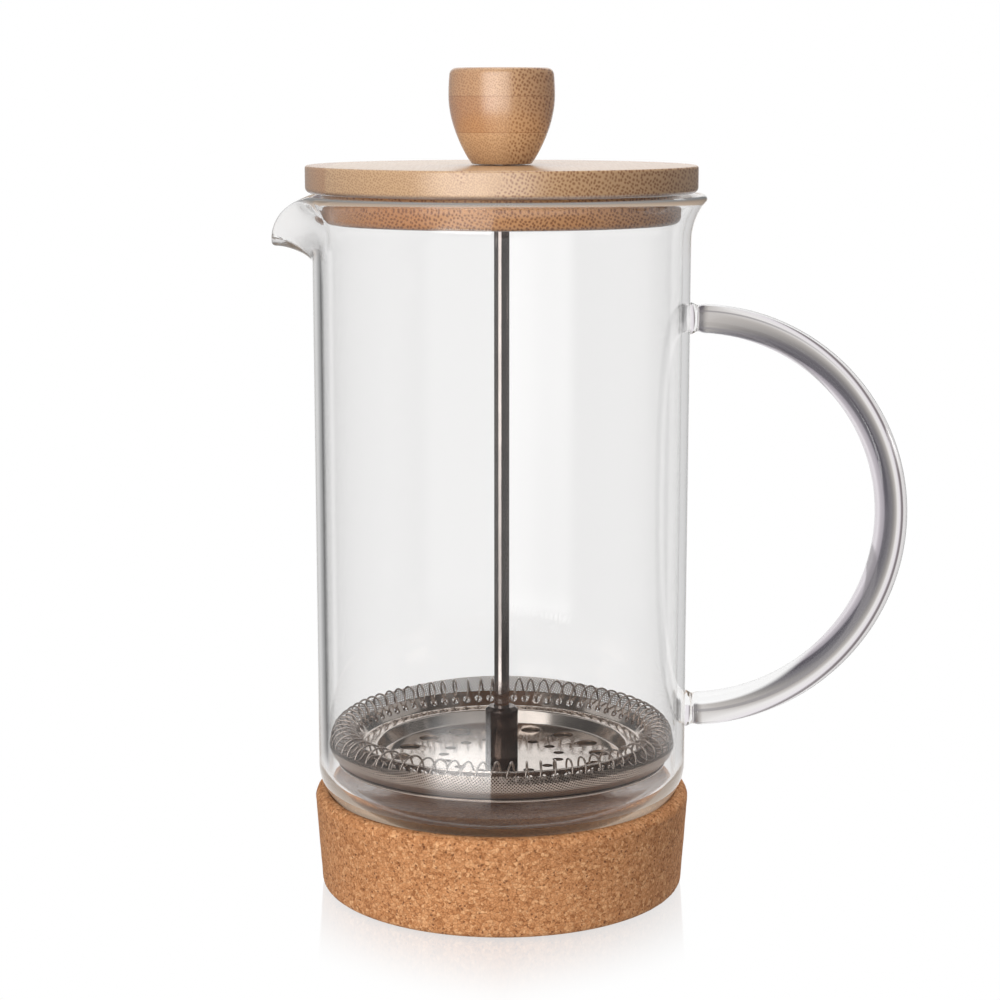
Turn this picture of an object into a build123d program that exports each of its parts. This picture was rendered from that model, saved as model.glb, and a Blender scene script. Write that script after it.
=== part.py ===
from build123d import *
import math
import os

# French press with a glass beaker, bamboo lid and cork base. Millimetres, +Z up.
# The origin is the centre of the cork base's underside. The spout points to -X and
# the handle to +X. Heights are measured from the surface that the press stands on.

GAP = 0.3                   # clearance between pieces that lift or slide apart

# Glass beaker
BEAKER_R = 50.0
WALL = 2.2
GLASS_BOTTOM = 22.8
GLASS_FLOOR = 26.2          # inner floor
HEEL_R = 11.2
FLARE_Z = 175.5             # where the wall starts to flare
FLARE_R = 16.0
FLARE_ANGLE = 40.0
BORE_R = BEAKER_R - WALL

# Spout, a drooping beak
SPOUT_TIP_X = 60.8
SPOUT_TIP_R = 4.0
SPOUT_ROOT_X = 42.0
SPOUT_ROOT_HALF = 18.0
SPOUT_UNDERSIDE = 173.9
DROOP_CENTRE = (-47.0, 175.0)
DROOP_A, DROOP_B = 13.8, 12.2

# Handle, a bent glass rod
HANDLE_CENTRE = (51.5, 101.4)
HANDLE_BEND_R = 53.4
HANDLE_ROD_R = (3.9, 4.2, 4.5)      # top end, middle, bottom end
WELD_R = 5.6
WELD_TIP_R = 3.0
WELD_LENGTH = 7.0

# Cork base
CORK_HEIGHT = 27.0
CORK_BOTTOM_R = 49.2
CORK_TOP_R = 51.1
CORK_BOTTOM_ROUND = 2.0
CORK_TOP_ROUND = 2.6

# Lid
DISC_R = 51.6
DISC_BOTTOM, DISC_TOP = 188.0, 195.1
DISC_BOTTOM_ROUND, DISC_TOP_ROUND = 1.5, 0.7
PLUG_R = 47.2
PLUG_BOTTOM = 180.6
PLUG_ROUND = 2.0

# Knob
KNOB_BOTTOM, KNOB_TOP = 195.4, 220.2
KNOB_R = 13.94
KNOB_WIDEST_Z = 213.2
KNOB_TOP_R = 13.5
KNOB_FOOT_R = 7.8
KNOB_MIDDLE = (12.28, 203.1)
KNOB_TOP_ROUND = 1.8
INSERT_R = 3.3
INSERT_LENGTH = 14.0

# Plunger rod and collar
ROD_R = 2.05
ROD_BOTTOM, ROD_TOP = 30.4, 208.4
COLLAR_R = 4.45
COLLAR_TOP = 48.9
COLLAR_CHAMFER = 0.9

# Filter stack, from the spring plate down
PLATE_T = 0.8
PLATE_FLOOR = 34.8          # upper face of the spring plate's floor
PLATE_FLOOR_R = 33.0
LEDGE_Z = 38.7
LEDGE_R = 38.0
FLANGE_TOP = (41.0, 42.5)   # radius and height of the flange's upper edge
COIL_LOOPS = 72
COIL_CENTRE = (43.0, 41.8)
COIL_R = 3.5
COIL_WIRE_R = 0.25
LACING_HOLE = (39.6, 40.4, 1.1)     # ring radius, height, hole radius
LACING_TILT = -50.0
OUTER_HOLES = (16, 27.0, 2.85)      # count, ring radius, hole radius
INNER_HOLES = (15, 15.9, 1.5)
MESH_T = 0.3
MESH_R = 47.4
MESH_TOP = 44.2
CROSS_R = 45.0
CROSS_HOLES = (8, 24.0, 7.0)
NUT_R = 5.5
NUT_BOTTOM = 30.0


def turn(edges):
    """Solid of revolution about Z from a closed profile in radius and height."""
    return revolve(Plane.XZ * make_face(edges), Axis.Z)


def turn_outline(outline, rounds=()):
    """Turned solid from corner points, with a radius on the corners in rounds."""
    face = make_face(Polyline(*outline, close=True))
    for corner, radius in rounds:
        face = fillet(face.vertices().sort_by_distance((*corner, 0))[:1], radius)
    return revolve(Plane.XZ * face, Axis.Z)


def turn_strip(upper, thickness):
    """Turned sheet: a line of points and the same line one thickness lower."""
    lower = [(radius, height - thickness) for radius, height in reversed(upper)]
    return turn_outline(list(upper) + lower)


def pin(radius, bottom, top):
    """Upright cylinder on the Z axis."""
    return Pos(0, 0, bottom) * extrude(Circle(radius), top - bottom)


def hole_ring(count, ring_r, hole_r, bottom, top):
    """Upright cylinders in a ring, for cutting holes."""
    return [Pos(x, y, 0) * pin(hole_r, bottom, top) for x, y in ring_points(count, ring_r)]


def ring_points(count, ring_r):
    """Evenly spaced points on a circle."""
    turns = [2 * math.pi * i / count for i in range(count)]
    return [(ring_r * math.cos(a), ring_r * math.sin(a)) for a in turns]


def flare_point(radius):
    """Point on the flare's arc of the given radius where the flare ends."""
    angle = math.radians(180 - FLARE_ANGLE)
    return (BEAKER_R + FLARE_R + radius * math.cos(angle), FLARE_Z + radius * math.sin(angle))


def beaker_body():
    """Straight wall with a rounded heel, a flared rim and a bead on the rim's edge."""
    flare_centre = (BEAKER_R + FLARE_R, FLARE_Z)
    heel_x = BEAKER_R - HEEL_R
    inner_r = HEEL_R - WALL
    heel_z = GLASS_BOTTOM + HEEL_R
    inner_z = GLASS_FLOOR + inner_r
    return turn([
        Line((0, GLASS_BOTTOM), (heel_x, GLASS_BOTTOM)),
        CenterArc((heel_x, heel_z), HEEL_R, -90, 90),
        Line((BEAKER_R, heel_z), (BEAKER_R, FLARE_Z)),
        CenterArc(flare_centre, FLARE_R, 180, -FLARE_ANGLE),
        CenterArc(flare_point(FLARE_R + WALL / 2), WALL / 2, -FLARE_ANGLE, 180),
        CenterArc(flare_centre, FLARE_R + WALL, 180 - FLARE_ANGLE, FLARE_ANGLE),
        Line((BORE_R, FLARE_Z), (BORE_R, inner_z)),
        CenterArc((heel_x, inner_z), inner_r, 0, -90),
        Line((heel_x, GLASS_FLOOR), (0, GLASS_FLOOR)),
        Line((0, GLASS_FLOOR), (0, GLASS_BOTTOM)),
    ])


def spout_prism(inset, bottom):
    """Upright prism with the spout's plan, narrowed all round by inset."""
    tip = Pos(SPOUT_TIP_R - SPOUT_TIP_X, 0) * Circle(SPOUT_TIP_R - inset)
    half = SPOUT_ROOT_HALF - inset * math.sqrt(2)
    root = Line((-SPOUT_ROOT_X, -half), (-SPOUT_ROOT_X, half))
    plan = make_hull(tip.edges() + [root])
    return Pos(0, 0, bottom) * extrude(plan, 20.0)


def spout_droop_cutter():
    """Everything above the spout's edge, which falls in an elliptical curve to the tip."""
    cx, cz = DROOP_CENTRE
    top = DROOP_CENTRE[1] + DROOP_B
    rim_top = flare_point(FLARE_R + WALL / 2)[1] + WALL / 2
    left, right, high = cx - DROOP_A, -36.0, 200.0
    curve = EllipticalCenterArc(DROOP_CENTRE, DROOP_A, DROOP_B, 90, arc_size=90)
    face = make_face([
        curve,
        Line((left, cz), (left - 5, cz)),
        Line((left - 5, cz), (left - 5, high)),
        Line((left - 5, high), (right, high)),
        Line((right, high), (right, rim_top)),
        Line((right, rim_top), (cx, top)),
    ])
    return extrude(Plane.XZ * face, 40.0, both=True)


def glass_beaker():
    """Beaker with its pouring spout."""
    bore = pin(BORE_R, GLASS_FLOOR + HEEL_R, 200.0)
    spout = spout_prism(0.0, SPOUT_UNDERSIDE)
    underside = spout.faces().sort_by(Axis.Z)[0]
    spout = fillet(underside.edges().sort_by(Axis.X)[:3], 2.0)
    channel = spout_prism(WALL, SPOUT_UNDERSIDE + WALL)
    cutter = spout_droop_cutter()
    return beaker_body() + (spout - cutter - bore) - channel


def glass_handle():
    """Bent rod with a swollen weld at each end, cut to the beaker's wall."""
    cx, cz = HANDLE_CENTRE
    inside = BEAKER_R - 1.0
    past = math.degrees(math.asin((cx - inside) / HANDLE_BEND_R))
    path = Plane.XZ * CenterArc(HANDLE_CENTRE, HANDLE_BEND_R, 90 + past, -180 - 2 * past)
    sections = []
    for place, radius in zip((0.0, 0.5, 1.0), HANDLE_ROD_R):
        sections.append(Plane(origin=path @ place, z_dir=path % place) * Circle(radius))
    rod = sweep(sections, path=path, multisection=True)
    for height in (cz + HANDLE_BEND_R, cz - HANDLE_BEND_R):
        weld = Cone(WELD_R, WELD_TIP_R, WELD_LENGTH, align=(Align.CENTER, Align.CENTER, Align.MIN))
        rod += Plane(origin=(inside, 0, height), z_dir=(1, 0, 0)) * weld
    return rod - pin(BEAKER_R, 0.0, 200.0)


def cork_base():
    """Cork cup whose recess follows the beaker's heel."""
    heel = (BEAKER_R - HEEL_R, GLASS_BOTTOM + HEEL_R)
    recess_r = HEEL_R + GAP
    recess_floor = GLASS_BOTTOM - GAP
    drop = heel[1] - CORK_HEIGHT
    edge_angle = math.degrees(math.asin(drop / recess_r))
    mouth_r = heel[0] + math.sqrt(recess_r ** 2 - drop ** 2)
    body = turn_outline(
        [(0, 0), (CORK_BOTTOM_R, 0), (CORK_TOP_R, CORK_HEIGHT), (0, CORK_HEIGHT)],
        [((CORK_BOTTOM_R, 0), CORK_BOTTOM_ROUND), ((CORK_TOP_R, CORK_HEIGHT), CORK_TOP_ROUND)],
    )
    recess = turn([
        Line((0, recess_floor), (heel[0], recess_floor)),
        CenterArc(heel, recess_r, -90, 90 - edge_angle),
        Line((mouth_r, CORK_HEIGHT), (mouth_r, CORK_HEIGHT + 5)),
        Line((mouth_r, CORK_HEIGHT + 5), (0, CORK_HEIGHT + 5)),
        Line((0, CORK_HEIGHT + 5), (0, recess_floor)),
    ])
    return body - recess


def lid_disc():
    """Flat disc that covers the rim, with a clearance hole for the rod."""
    bore = ROD_R + GAP
    return turn_outline(
        [(bore, DISC_BOTTOM), (DISC_R, DISC_BOTTOM), (DISC_R, DISC_TOP), (bore, DISC_TOP)],
        [((DISC_R, DISC_BOTTOM), DISC_BOTTOM_ROUND), ((DISC_R, DISC_TOP), DISC_TOP_ROUND)],
    )


def lid_plug():
    """Smaller disc under the lid that keeps it centred in the beaker."""
    bore = ROD_R + GAP
    return turn_outline(
        [(bore, PLUG_BOTTOM), (PLUG_R, PLUG_BOTTOM), (PLUG_R, DISC_BOTTOM), (bore, DISC_BOTTOM)],
        [((PLUG_R, PLUG_BOTTOM), PLUG_ROUND)],
    )


def knob():
    """Tulip-shaped knob with a blind hole for its threaded insert."""
    foot = (KNOB_FOOT_R, KNOB_BOTTOM)
    widest = (KNOB_R, KNOB_WIDEST_Z)
    top_corner = (KNOB_TOP_R, KNOB_TOP)
    face = make_face([
        Line((0, KNOB_BOTTOM), foot),
        Spline(foot, KNOB_MIDDLE, widest, tangents=[(1, 1.25), (0, 1)]),
        TangentArc(widest, top_corner, tangent=(0, 1)),
        Line(top_corner, (0, KNOB_TOP)),
        Line((0, KNOB_TOP), (0, KNOB_BOTTOM)),
    ])
    face = fillet(face.vertices().sort_by_distance((*top_corner, 0))[:1], KNOB_TOP_ROUND)
    body = revolve(Plane.XZ * face, Axis.Z)
    return body - pin(INSERT_R, KNOB_BOTTOM, KNOB_BOTTOM + INSERT_LENGTH)


def knob_insert():
    """Threaded metal sleeve in the knob that the rod screws into."""
    top = KNOB_BOTTOM + INSERT_LENGTH
    return pin(INSERT_R, KNOB_BOTTOM, top) - pin(ROD_R, KNOB_BOTTOM, top)


def plunger_rod():
    """Round rod from the knob down through the filter stack."""
    return pin(ROD_R, ROD_BOTTOM, ROD_TOP)


def rod_collar():
    """Hub at the rod's foot that clamps the filter stack."""
    return turn_outline(
        [(ROD_R, PLATE_FLOOR), (COLLAR_R, PLATE_FLOOR), (COLLAR_R, COLLAR_TOP - COLLAR_CHAMFER),
         (COLLAR_R - COLLAR_CHAMFER, COLLAR_TOP), (ROD_R, COLLAR_TOP)],
    )


def spring_plate():
    """Pressed plate with a sunken floor, a ledge and a flange laced with holes."""
    plate = turn_strip(
        [(ROD_R, PLATE_FLOOR), (PLATE_FLOOR_R, PLATE_FLOOR), (PLATE_FLOOR_R + 0.9, LEDGE_Z),
         (LEDGE_R, LEDGE_Z), FLANGE_TOP],
        PLATE_T,
    )
    low, high = PLATE_FLOOR - 2, PLATE_FLOOR + 1
    cuts = hole_ring(*OUTER_HOLES, low, high) + hole_ring(*INNER_HOLES, low, high)
    ring_r, height, hole_r = LACING_HOLE
    lacing = Pos(ring_r, 0, height) * Rot(0, LACING_TILT, 0) * extrude(Circle(hole_r), 2.0, both=True)
    cuts += [Rot(0, 0, 360 * i / COIL_LOOPS) * lacing for i in range(COIL_LOOPS)]
    return plate - cuts


def seal_spring():
    """Loops of the coil that is laced through the flange, one ring to each hole."""
    loop = Pos(COIL_CENTRE[0], 0, COIL_CENTRE[1]) * Rot(90, 0, 0) * Torus(COIL_R, COIL_WIRE_R)
    return Compound(children=[Rot(0, 0, 360 * i / COIL_LOOPS) * loop for i in range(COIL_LOOPS)])


def mesh_profile():
    """Upper line of the woven mesh: flat, dished at the edge, then up the coil's side."""
    flat = PLATE_FLOOR - PLATE_T
    return [(ROD_R, flat), (PLATE_FLOOR_R + 1.0, flat), (CROSS_R - 0.4, flat + 2.4)]


def filter_mesh():
    """Fine woven mesh, shown as a thin sheet, that turns up round the coil."""
    flat = mesh_profile()
    foot = flat[-1]
    wall = [(46.0, 38.6), (46.9, 41.4), (MESH_R - 0.3, MESH_TOP)]
    outer = [(radius + MESH_T, height) for radius, height in reversed(wall)]
    under = [(radius, height - MESH_T) for radius, height in reversed(flat)]
    turned_foot = (foot[0] + MESH_T, foot[1] - MESH_T / 2)
    return turn_outline(flat + wall + outer + [turned_foot] + under)


def cross_plate():
    """Lower plate with large openings that carries the mesh."""
    flat = PLATE_FLOOR - PLATE_T - MESH_T
    plate = turn_strip([(ROD_R, flat), (PLATE_FLOOR_R + 1.0, flat), (CROSS_R, flat + 2.4)], PLATE_T)
    return plate - hole_ring(*CROSS_HOLES, flat - 2, flat + 1)


def cross_plate_nut():
    """Hexagonal boss under the cross plate, on the rod's threaded end."""
    top = PLATE_FLOOR - PLATE_T - MESH_T - PLATE_T
    body = Pos(0, 0, NUT_BOTTOM) * extrude(RegularPolygon(NUT_R, 6), top - NUT_BOTTOM)
    return body - pin(ROD_R, NUT_BOTTOM, top)


PIECES = [
    cork_base, glass_beaker, glass_handle, lid_disc, lid_plug, knob, knob_insert,
    plunger_rod, rod_collar, spring_plate, seal_spring, filter_mesh, cross_plate,
    cross_plate_nut,
]


def main():
    os.makedirs("parts", exist_ok=True)
    for make in PIECES:
        export_step(make(), "parts/" + make.__name__ + ".step")


main()
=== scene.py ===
import math

import bpy
import numpy as np
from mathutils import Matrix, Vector


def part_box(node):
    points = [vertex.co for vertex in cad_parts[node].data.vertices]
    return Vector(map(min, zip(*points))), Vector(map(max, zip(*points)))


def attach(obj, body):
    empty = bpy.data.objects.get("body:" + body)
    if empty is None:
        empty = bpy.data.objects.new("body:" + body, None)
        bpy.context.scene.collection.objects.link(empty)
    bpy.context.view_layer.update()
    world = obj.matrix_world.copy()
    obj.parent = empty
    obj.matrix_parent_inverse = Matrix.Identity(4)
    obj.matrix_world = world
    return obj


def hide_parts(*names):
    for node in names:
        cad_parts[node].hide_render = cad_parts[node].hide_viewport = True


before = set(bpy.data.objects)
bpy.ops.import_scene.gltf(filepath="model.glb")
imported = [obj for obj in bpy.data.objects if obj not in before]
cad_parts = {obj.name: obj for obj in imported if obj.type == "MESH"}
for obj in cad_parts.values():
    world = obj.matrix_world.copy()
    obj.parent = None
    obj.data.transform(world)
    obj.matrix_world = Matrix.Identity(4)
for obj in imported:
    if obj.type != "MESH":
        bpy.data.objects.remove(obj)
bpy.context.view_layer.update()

# A French press seen in a white studio. Lengths are in millimetres until a mesh is made.
MM = 0.001
SEGMENTS = 256


def box_mm(node):
    """Lowest and highest corner of a CAD node, in millimetres."""
    low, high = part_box(node)
    return low / MM, high / MM


# ---------------------------------------------------------------- sizes from the frame
CORK_LOW, CORK_HIGH = box_mm("cork_base")
GLASS_LOW, GLASS_HIGH = box_mm("glass_beaker")
DISC_LOW, DISC_HIGH = box_mm("lid_disc")
PLUG_LOW, PLUG_HIGH = box_mm("lid_plug")
KNOB_LOW, KNOB_HIGH = box_mm("knob")
ROD_LOW, ROD_HIGH = box_mm("plunger_rod")
COLLAR_LOW, COLLAR_HIGH = box_mm("rod_collar")
PLATE_LOW, PLATE_HIGH = box_mm("spring_plate")
COIL_LOW, COIL_HIGH = box_mm("seal_spring")
MESH_LOW, _ = box_mm("filter_mesh")
CROSS_LOW, CROSS_HIGH = box_mm("cross_plate")
NUT_LOW, NUT_HIGH = box_mm("cross_plate_nut")

ROD_R = ROD_HIGH.x
BEAKER_R = 50.0
WALL = 2.2
GLASS_FLOOR_T = 3.4
HEEL_R = 11.2


# ---------------------------------------------------------------- mesh helpers
def arc(centre, radius, start, end, steps):
    """Points on an arc, with its angles in degrees."""
    angles = np.radians(np.linspace(start, end, steps))
    return [(centre[0] + radius * math.cos(a), centre[1] + radius * math.sin(a)) for a in angles]


def rounded(corners, steps=5):
    """Outline through (r, z, radius) corners, each turned with an arc of its radius."""
    points = []
    for i, (r, z, radius) in enumerate(corners):
        here = Vector((r, z))
        if radius == 0 or i in (0, len(corners) - 1):
            points.append((r, z))
            continue
        before = (Vector(corners[i - 1][:2]) - here).normalized()
        after = (Vector(corners[i + 1][:2]) - here).normalized()
        half = before.angle(after) / 2
        centre = here + (before + after).normalized() * (radius / math.sin(half))
        first = here + before * (radius / math.tan(half)) - centre
        last = here + after * (radius / math.tan(half)) - centre
        turn = first.angle_signed(last)
        for k in range(steps + 1):
            a = -turn * k / steps
            x = first.x * math.cos(a) - first.y * math.sin(a)
            y = first.x * math.sin(a) + first.y * math.cos(a)
            points.append((centre.x + x, centre.y + y))
    return points


def new_object(name, verts, faces, sharp_angle=35.0):
    """Mesh object from vertices in millimetres, shaded smooth with sharp edges kept."""
    mesh = bpy.data.meshes.new(name)
    mesh.from_pydata([tuple(v) for v in np.asarray(verts) * MM], [], faces)
    mesh.validate()
    mesh.update()
    return shade(link(bpy.data.objects.new(name, mesh)), sharp_angle)


def link(obj):
    bpy.context.scene.collection.objects.link(obj)
    return obj


def shade(obj, sharp_angle=35.0):
    """Smooth shading, broken at edges sharper than the angle."""
    mesh = obj.data
    mesh.polygons.foreach_set("use_smooth", [True] * len(mesh.polygons))
    mesh.set_sharp_from_angle(angle=math.radians(sharp_angle))
    return obj


def grid_faces(rows, columns, wrap_rows, wrap_columns):
    """Quads over a grid of vertices stored row by row."""
    faces = []
    for i in range(rows if wrap_rows else rows - 1):
        for j in range(columns if wrap_columns else columns - 1):
            a, b = i * columns + j, i * columns + (j + 1) % columns
            c = ((i + 1) % rows) * columns + (j + 1) % columns
            d = ((i + 1) % rows) * columns + j
            faces.append((a, b, c, d))
    return faces


def lathe(name, profile, segments=SEGMENTS, closed=False, sharp_angle=35.0):
    """Profile of (r, z) points turned about Z. It runs from axis to axis, or round a closed ring."""
    ring = [p for p in profile if p[0] > 1e-6]
    angles = [2 * math.pi * j / segments for j in range(segments)]
    verts = [(r * math.cos(a), r * math.sin(a), z) for r, z in ring for a in angles]
    faces = grid_faces(len(ring), segments, closed, True)
    if not closed:
        for end, row in ((profile[0], 0), (profile[-1], len(ring) - 1)):
            verts.append((0.0, 0.0, end[1]))
            for j in range(segments):
                a, b = row * segments + j, row * segments + (j + 1) % segments
                pole = len(verts) - 1
                faces.append((b, a, pole) if row == 0 else (a, b, pole))
    return new_object(name, verts, faces, sharp_angle)


def tube(name, points, normals, radii, sides, closed=False):
    """Round tube along points. Each point has a normal square to the path, and a radius."""
    points, normals = np.asarray(points, float), np.asarray(normals, float)
    if closed:
        tangents = np.roll(points, -1, 0) - np.roll(points, 1, 0)
    else:
        tangents = np.gradient(points, axis=0)
    tangents /= np.linalg.norm(tangents, axis=1, keepdims=True)
    normals -= tangents * np.sum(normals * tangents, 1, keepdims=True)
    normals /= np.linalg.norm(normals, axis=1, keepdims=True)
    sidewards = np.cross(tangents, normals)
    verts = []
    for point, normal, side, radius in zip(points, normals, sidewards, radii):
        for j in range(sides):
            a = 2 * math.pi * j / sides
            verts.append(point + radius * (math.cos(a) * normal + math.sin(a) * side))
    count = len(points)
    faces = grid_faces(count, sides, closed, True)
    if not closed:
        faces.append(tuple(range(sides))[::-1])
        faces.append(tuple((count - 1) * sides + j for j in range(sides)))
    return new_object(name, verts, faces, 60.0)


def boolean(obj, other, operation):
    """Joins or cuts obj with other, which is then removed."""
    modifier = obj.modifiers.new("solid", "BOOLEAN")
    modifier.operation = operation
    modifier.solver = "EXACT"
    modifier.object = other
    evaluated = obj.evaluated_get(bpy.context.evaluated_depsgraph_get())
    mesh = bpy.data.meshes.new_from_object(evaluated)
    obj.modifiers.clear()
    obj.data = mesh
    bpy.data.objects.remove(other)
    return obj


def pins(name, places, radius, sides):
    """Cylinders for cutting holes: each place is (centre, axis, half length)."""
    verts, faces = [], []
    for centre, axis, half in places:
        axis = Vector(axis).normalized()
        across = axis.orthogonal().normalized()
        other = axis.cross(across)
        start = len(verts)
        for side in (-half, half):
            for j in range(sides):
                a = 2 * math.pi * j / sides
                spoke = across * math.cos(a) + other * math.sin(a)
                verts.append(Vector(centre) + axis * side + spoke * radius)
        for j in range(sides):
            k = (j + 1) % sides
            faces.append((start + j, start + k, start + sides + k, start + sides + j))
        faces.append(tuple(start + j for j in range(sides))[::-1])
        faces.append(tuple(start + sides + j for j in range(sides)))
    return new_object(name, verts, faces)


def around(count, radius, height, start=0.0):
    """Evenly spaced points on a level circle, with their angles."""
    angles = [start + 2 * math.pi * i / count for i in range(count)]
    return [((radius * math.cos(a), radius * math.sin(a), height), a) for a in angles]


def place(obj, body, material, slot, *nodes):
    """Gives the piece its material and its body, and hides the CAD nodes that it stands for."""
    obj.data.materials.clear()
    obj.data.materials.append(material)
    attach(obj, body)
    if nodes:
        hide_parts(*nodes)
    return obj


# ---------------------------------------------------------------- material helpers
class Shader:
    """The node tree of a new material or world, with short calls for the nodes that it uses."""

    def __init__(self, name, kind="Material"):
        library = bpy.data.worlds if kind == "World" else bpy.data.materials
        self.owner = library.new(name)
        self.owner.use_nodes = True
        self.tree = self.owner.node_tree
        self.tree.nodes.clear()
        self.out = self.tree.nodes.new("ShaderNodeOutput" + kind)

    def feed(self, socket, value):
        """Links another node's output to the socket, or sets its value."""
        if isinstance(value, bpy.types.NodeSocket):
            self.tree.links.new(value, socket)
        elif socket.type == "RGBA" and len(value) == 3:
            socket.default_value = (*value, 1.0)
        else:
            socket.default_value = value

    def node(self, kind, inputs=None, **settings):
        node = self.tree.nodes.new(kind)
        for key, value in settings.items():
            setattr(node, key, value)
        for key, value in (inputs or {}).items():
            self.feed(node.inputs[key], value)
        return node

    def math(self, operation, a, b=0.0):
        return self.node("ShaderNodeMath", {0: a, 1: b}, operation=operation).outputs[0]

    def step(self, value, low, high, to_low=0.0, to_high=1.0):
        """Smooth step of a value between two limits."""
        inputs = {"Value": value, "From Min": low, "From Max": high, "To Min": to_low, "To Max": to_high}
        node = self.node("ShaderNodeMapRange", inputs, interpolation_type="SMOOTHSTEP")
        return node.outputs["Result"]

    def band(self, value, rise_from, rise_to, fall_from, fall_to):
        """1 between the two slopes of a value, and 0 beyond them."""
        rise, fall = self.step(value, rise_from, rise_to), self.step(value, fall_to, fall_from)
        return self.math("MULTIPLY", rise, fall)

    def either(self, first, *others):
        """The highest of the values."""
        for other in others:
            first = self.math("MAXIMUM", first, other)
        return first

    def mix(self, factor, a, b, blend="MIX"):
        node = self.node("ShaderNodeMix", data_type="RGBA", blend_type=blend)
        self.feed(node.inputs["Factor"], factor)
        self.feed(node.inputs[6], a)
        self.feed(node.inputs[7], b)
        return node.outputs[2]

    def ramp(self, value, stops):
        """Colour ramp with (position, colour) stops."""
        node = self.node("ShaderNodeValToRGB", {"Fac": value})
        elements = node.color_ramp.elements
        elements.remove(elements[1])
        for position, colour in stops[1:]:
            elements.new(position).color = (*colour, 1.0)
        elements[0].position = stops[0][0]
        elements[0].color = (*stops[0][1], 1.0)
        return node.outputs["Color"]

    def place_mm(self, scale=(1.0, 1.0, 1.0)):
        """Object coordinates in millimetres, scaled."""
        coords = self.node("ShaderNodeTexCoord").outputs["Object"]
        inputs = {"Vector": coords, "Scale": [s / MM for s in scale]}
        return self.node("ShaderNodeMapping", inputs).outputs["Vector"]

    def axes(self, vector):
        node = self.node("ShaderNodeSeparateXYZ", {"Vector": vector})
        return node.outputs["X"], node.outputs["Y"], node.outputs["Z"]

    def noise(self, vector, scale, detail=2.0, roughness=0.5):
        inputs = {"Vector": vector, "Scale": scale, "Detail": detail, "Roughness": roughness}
        return self.node("ShaderNodeTexNoise", inputs).outputs["Fac"]

    def cells(self, vector, scale, feature="F1", randomness=1.0, dimensions="3D"):
        inputs = {"Vector": vector, "Scale": scale, "Randomness": randomness}
        return self.node("ShaderNodeTexVoronoi", inputs, feature=feature, voronoi_dimensions=dimensions)

    def bump(self, height, distance, strength):
        inputs = {"Height": height, "Distance": distance * MM, "Strength": strength}
        return self.node("ShaderNodeBump", inputs).outputs["Normal"]

    def principled(self, **inputs):
        named = {key.replace("_", " "): value for key, value in inputs.items()}
        return self.node("ShaderNodeBsdfPrincipled", named).outputs["BSDF"]

    def finish(self, surface):
        """Sets the surface, and gives back the material or world."""
        self.feed(self.out.inputs["Surface"], surface)
        return self.owner


def steel(name, colour, roughness, drawn=False):
    """Bare stainless steel. Where it is drawn, its fine scratches are stretched along Z."""
    s = Shader(name)
    stretch = (1, 1, 0.04) if drawn else (1, 1, 1)
    scratches = s.noise(s.place_mm(stretch), 4.0, 3.0, 0.6)
    clouds = s.noise(s.place_mm(), 0.12, 2.0)
    tone = s.mix(s.step(clouds, 0.3, 0.7), [c * 0.88 for c in colour], colour)
    rough = s.math("ADD", s.math("MULTIPLY", scratches, roughness), roughness * 0.55)
    normal = s.bump(scratches, 0.012, 0.5)
    return s.finish(s.principled(Base_Color=tone, Metallic=1.0, Roughness=rough, Normal=normal))


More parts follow.
